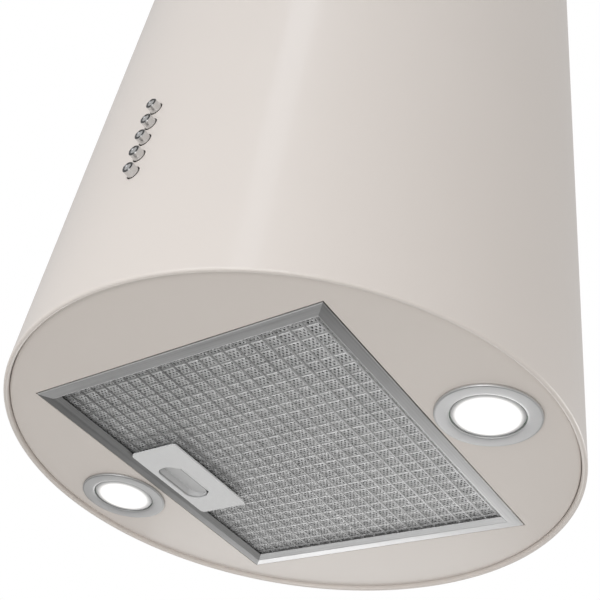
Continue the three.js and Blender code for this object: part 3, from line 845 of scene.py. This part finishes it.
coil_radius, coil_wire, coil_turns = 1.6, 0.32, 4
coil_low, coil_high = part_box("latch_spring")
coil_axis = ((coil_low.z + coil_high.z) / 2 - rim) / mm
coil_length = (coil_high.x - coil_low.x) / mm - 2 * coil_wire
bpy.ops.object.select_all(action="DESELECT")
bpy.ops.mesh.primitive_circle_add(vertices=10, radius=coil_wire * mm, fill_type="NOTHING",
                                  location=(0, 0, coil_radius * mm), rotation=(math.pi / 2, 0, 0))
coil = bpy.context.object
coil.name = "latch_coil"
bpy.ops.object.transform_apply(location=True, rotation=True, scale=True)
apply_modifier(coil, "SCREW", axis="X", angle=math.tau, iterations=coil_turns, steps=28, render_steps=28,
               screw_offset=coil_length / coil_turns * mm)
coil.location = (coil_low.x + coil_wire * mm, 0, rim + coil_axis * mm)
bpy.ops.object.transform_apply(location=True, rotation=True, scale=True)
hand_over(smoothed(capped(coil), 60), "latch_spring", bright_steel("spring_wire", 0.55))
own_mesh(coil)
dressed_copy("filter_catch", 0.15 * mm, bright_steel("catch_steel", 0.58))


# Push buttons. Five latching keys turned from brass and chromed, each a slim straight cap with a
# dished face, in a column on the front of the casing. Behind them are their bracket and board.
face_from_axis = 200.3


def chrome_finish():
    chrome = Finish("polished_chrome", Metallic=1.0)
    haze = chrome.noise(300, 3)
    _, along, _ = chrome.axis_values()
    # Painted dark reflection: the dished face gets a near-black base colour instead of the chrome's grey.
    painted_reflection_on_face = chrome.node("ShaderNodeClamp", {}, (-face_from_axis * mm - along) * 6000)
    side = chrome.blend(haze, grey(0.62), grey(0.74))
    chrome.feed(Base_Color=chrome.blend(painted_reflection_on_face, side, grey(0.1)),
                Roughness=chrome.spread(haze, 0.3, 0.7, 0.16, 0.24))
    chrome.bump(haze, 0.00002, 0.3)
    return chrome.material


chrome = chrome_finish()
button_nodes = ("button_light", "button_speed_high", "button_speed_medium", "button_speed_low", "button_off")
cap_outline = [
    (0, 180.6), (2.7, 180.6), (3, 180.9), (3, 192), (6.3, 192), (6.3, 193.2), (4.5, 193.2), (4.45, 194.6),
    (4.3, 200.1), *round_corner((4.0, 200.2), 0.3, 0, 80, 4), (3.75, 200.9), (3.45, 200.95), (3.1, 200.6),
    (2.5, 200.35), (1.9, 200.1), (1.0, 200.0), (0, 200.0)]
for node, height in zip(button_nodes, button_heights):
    cap = turned(node + "_cap", cap_outline, 48)
    cap.matrix_world = (Matrix.Translation((0, 0, rim + height * mm)) @ Matrix.Rotation(math.pi / 2, 4, "X")
                        @ Matrix.Translation((0, 0, -rim)))
    select_only(cap)
    bpy.ops.object.transform_apply(location=True, rotation=True, scale=True)
    hand_over(smoothed(cap, 32), node, chrome)
dressed_copy("button_bracket", 0.3 * mm, zinc_sheet)
dressed_copy("switch_board", 0.2 * mm, circuit_board)


# Chassis and blower. A pressed ring carries a centrifugal fan: a curled zinc sheet between two side
# plates, a bladed wheel on a nut-clamped hub, and a closed motor with its run capacitor.
def plain_plastic(name, colour, lighter):
    plastic = Finish(name, IOR=1.46)
    grain = plastic.noise(1200, 2)
    cloud = plastic.noise(15, 3)
    plastic.feed(Base_Color=plastic.blend(cloud, colour, lighter),
                 Roughness=plastic.spread(grain, 0.3, 0.7, 0.4, 0.58))
    plastic.bump(grain, 0.00005, 0.4)
    return plastic.material


for node in ("chassis_ring", "blower_scroll", "blower_side_left", "blower_side_right", "motor_bracket",
             "outlet_flange"):
    dressed_copy(node, 0.35 * mm, zinc_sheet)
wheel_zinc = bright_steel("wheel_sheet", 0.62)
for node in ("blower_wheel", "wheel_hub"):
    dressed_copy(node, 0.2 * mm, wheel_zinc)
for node in ("motor_shaft", "wheel_nut"):
    dressed_copy(node, 0.3 * mm, bolt_steel)
dressed_copy("motor_body", 0.6 * mm, bright_steel("motor_shell", 0.4))
dressed_copy("run_capacitor", 0.6 * mm, plain_plastic("capacitor_white", grey(0.6), grey(0.68)))


# Outlet collar and wiring box. The collar and its two damper flaps are moulded in dark plastic, on a
# steel pin; a zinc box beside it holds the control board and lets the mains cable in by a gland.
dark_plastic = plain_plastic("dark_plastic", grey(0.03), grey(0.045))
for node in ("outlet_collar", "damper_flap_rear", "damper_flap_front", "cable_gland"):
    dressed_copy(node, 0.35 * mm, dark_plastic)
dressed_copy("damper_pin", 0.2 * mm, bolt_steel)
for node in ("terminal_box", "terminal_box_lid"):
    dressed_copy(node, 0.35 * mm, zinc_sheet)
dressed_copy("control_board", 0.2 * mm, circuit_board)
